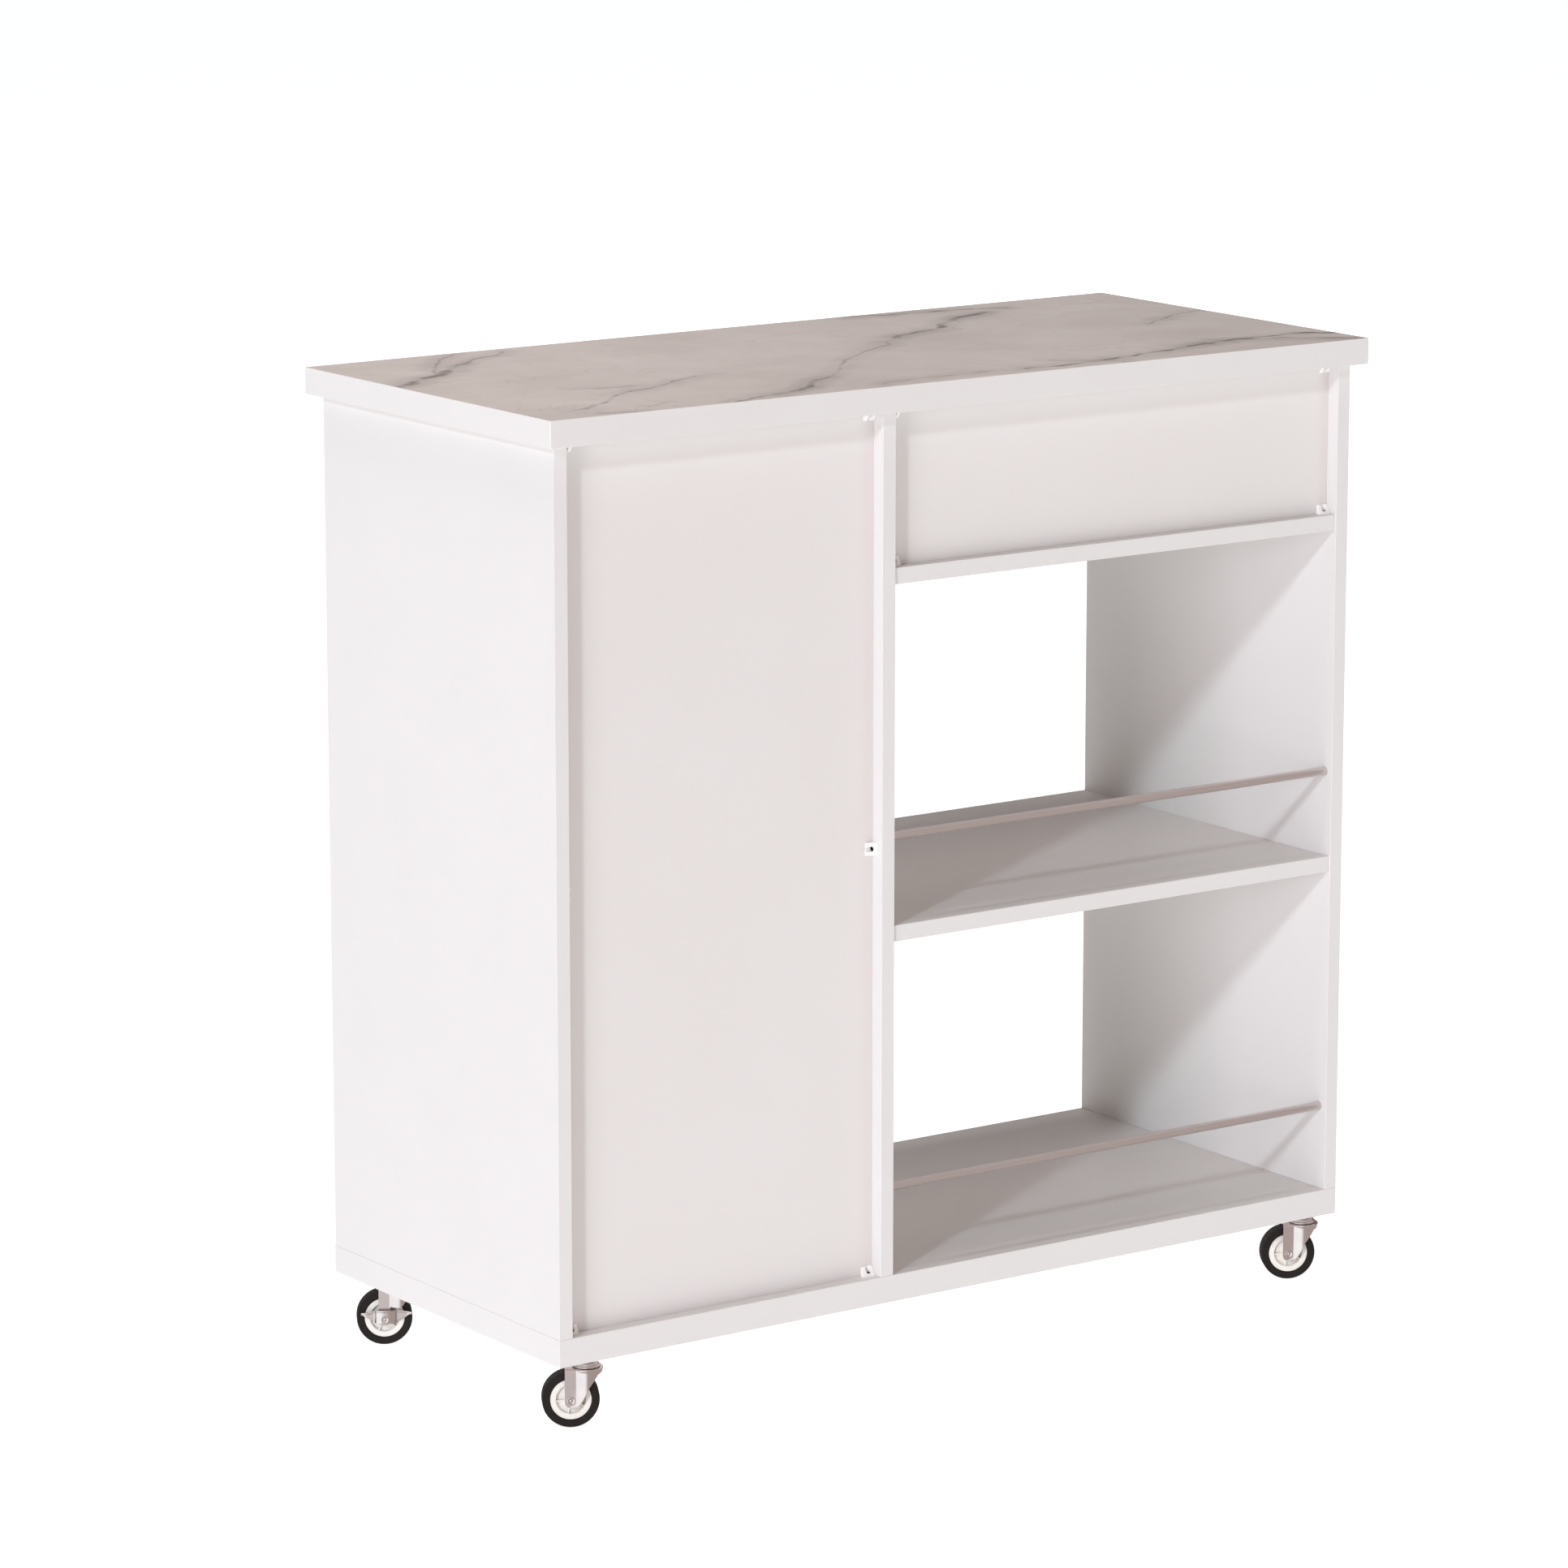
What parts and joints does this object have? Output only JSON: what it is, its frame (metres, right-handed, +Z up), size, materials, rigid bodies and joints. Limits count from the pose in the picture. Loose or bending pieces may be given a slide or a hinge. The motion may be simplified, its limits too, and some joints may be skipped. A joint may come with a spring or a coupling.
{
  "type": "kitchen cart",
  "caption": "Rolling kitchen cart with a marble-look top, a cupboard with a hinged door, a drawer, open shelves with guard rails and braked swivel casters",
  "frame": {"origin": "on the floor, under the middle of the cart's outline with its pulls", "axes": "+Z up, the door and the drawer face -Y, the cupboard is on the +X side, the open shelves and the drawer on the -X side"},
  "size_m": [0.9, 0.415, 0.9],
  "materials": {
    "white_board": "white melamine-faced board with a soft sheen",
    "white_back": "thin painted fibreboard, warm white, matt",
    "marble_laminate": "glossy marble-look laminate, pale grey with fine dark veins",
    "white_plastic": "white moulded plastic",
    "satin_nickel": "satin nickel-plated steel",
    "zinc_steel": "bright zinc-plated steel",
    "runner_steel": "zinc-plated steel sheet",
    "beech": "plain beech",
    "wheel_rim": "cream moulded nylon",
    "wheel_tyre": "black rubber, matt"
  },
  "bodies": {
    "carcass": {"top_board": "white_board", "top_laminate": "marble_laminate", "bottom_board": "white_board", "cupboard_side_panel": "white_board", "shelf_side_panel": "white_board", "divider_panel": "white_board", "mid_shelf": "white_board", "drawer_bay_shelf": "white_board", "cupboard_back_panel": "white_back", "drawer_back_panel": "white_back", "back_panel_clips": "white_plastic", "guard_rails": "satin_nickel", "cupboard_shelves": "white_board", "shelf_pins": "satin_nickel", "cam_locks": "zinc_steel", "cam_bolts": "zinc_steel", "wood_dowels": "beech", "bottom_screws": "zinc_steel", "carcass_screws": "zinc_steel", "hinge_frame_leaves": "satin_nickel", "hinge_pins": "satin_nickel", "magnetic_catch": "white_plastic", "runner_cabinet_members": "runner_steel", "caster_stems": "zinc_steel", "caster_insert_nuts": "zinc_steel", "swivel_balls": "zinc_steel"},
    "door": {"door_panel": "white_board", "door_handle": "satin_nickel", "door_handle_screws": "zinc_steel", "hinge_door_leaves": "satin_nickel", "hinge_door_screws": "satin_nickel", "catch_strike": "zinc_steel"},
    "drawer": {"drawer_front": "white_board", "drawer_left_side": "white_board", "drawer_right_side": "white_board", "drawer_back": "white_board", "drawer_bottom": "white_back", "drawer_handle": "satin_nickel", "drawer_handle_screws": "zinc_steel", "drawer_fasteners": "zinc_steel", "runner_drawer_members": "runner_steel"},
    "ball_cages": {"runner_ball_cages": "runner_steel"},
    "front_left_swivel": {"front_left_fork": "zinc_steel", "front_left_axle": "zinc_steel"},
    "front_left_wheel": {"front_left_rim": "wheel_rim", "front_left_tyre": "wheel_tyre"},
    "front_left_brake": {"front_left_brake_lever": "zinc_steel"},
    "front_right_swivel": {"front_right_fork": "zinc_steel", "front_right_axle": "zinc_steel"},
    "front_right_wheel": {"front_right_rim": "wheel_rim", "front_right_tyre": "wheel_tyre"},
    "front_right_brake": {"front_right_brake_lever": "zinc_steel"},
    "rear_left_swivel": {"rear_left_fork": "zinc_steel", "rear_left_axle": "zinc_steel"},
    "rear_left_wheel": {"rear_left_rim": "wheel_rim", "rear_left_tyre": "wheel_tyre"},
    "rear_right_swivel": {"rear_right_fork": "zinc_steel", "rear_right_axle": "zinc_steel"},
    "rear_right_wheel": {"rear_right_rim": "wheel_rim", "rear_right_tyre": "wheel_tyre"}
  },
  "joints": [
    {"name": "door_hinge", "type": "hinge", "parent": "carcass", "child": "door", "pos_m": [0.424, -0.1829, 0.483], "axis": [0, 0, 1], "range_deg": [0, 170]},
    {"name": "drawer_slide", "type": "slide", "parent": "carcass", "child": "drawer", "axis": [0, -1, 0], "range_m": [0, 0.2]},
    {"name": "ball_cage_slide", "type": "slide", "parent": "carcass", "child": "ball_cages", "axis": [0, -1, 0], "range_m": [0, 0.1]},
    {"name": "front_left_swivel_turn", "type": "hinge", "parent": "carcass", "child": "front_left_swivel", "pos_m": [-0.41912, -0.1405, 0.054], "axis": [0, 0, 1], "continuous": true},
    {"name": "front_left_wheel_spin", "type": "hinge", "parent": "front_left_swivel", "child": "front_left_wheel", "pos_m": [-0.407, -0.1475, 0.0255], "axis": [0.5, 0.866, 0], "continuous": true},
    {"name": "front_left_brake_rock", "type": "hinge", "parent": "front_left_swivel", "child": "front_left_brake", "pos_m": [-0.407, -0.1475, 0.0255], "axis": [0.5, 0.866, 0], "range_deg": [0, 12]},
    {"name": "front_right_swivel_turn", "type": "hinge", "parent": "carcass", "child": "front_right_swivel", "pos_m": [0.39488, -0.1405, 0.054], "axis": [0, 0, 1], "continuous": true},
    {"name": "front_right_wheel_spin", "type": "hinge", "parent": "front_right_swivel", "child": "front_right_wheel", "pos_m": [0.407, -0.1475, 0.0255], "axis": [0.5, 0.866, 0], "continuous": true},
    {"name": "front_right_brake_rock", "type": "hinge", "parent": "front_right_swivel", "child": "front_right_brake", "pos_m": [0.407, -0.1475, 0.0255], "axis": [0.5, 0.866, 0], "range_deg": [0, 12]},
    {"name": "rear_left_swivel_turn", "type": "hinge", "parent": "carcass", "child": "rear_left_swivel", "pos_m": [-0.41912, 0.1695, 0.054], "axis": [0, 0, 1], "continuous": true},
    {"name": "rear_left_wheel_spin", "type": "hinge", "parent": "rear_left_swivel", "child": "rear_left_wheel", "pos_m": [-0.407, 0.1625, 0.0255], "axis": [0.5, 0.866, 0], "continuous": true},
    {"name": "rear_right_swivel_turn", "type": "hinge", "parent": "carcass", "child": "rear_right_swivel", "pos_m": [0.39488, 0.1695, 0.054], "axis": [0, 0, 1], "continuous": true},
    {"name": "rear_right_wheel_spin", "type": "hinge", "parent": "rear_right_swivel", "child": "rear_right_wheel", "pos_m": [0.407, 0.1625, 0.0255], "axis": [0.5, 0.866, 0], "continuous": true}
  ],
  "couplings": [
    {"joint": "ball_cage_slide", "follows": "drawer_slide", "ratio": 0.5}
  ]
}
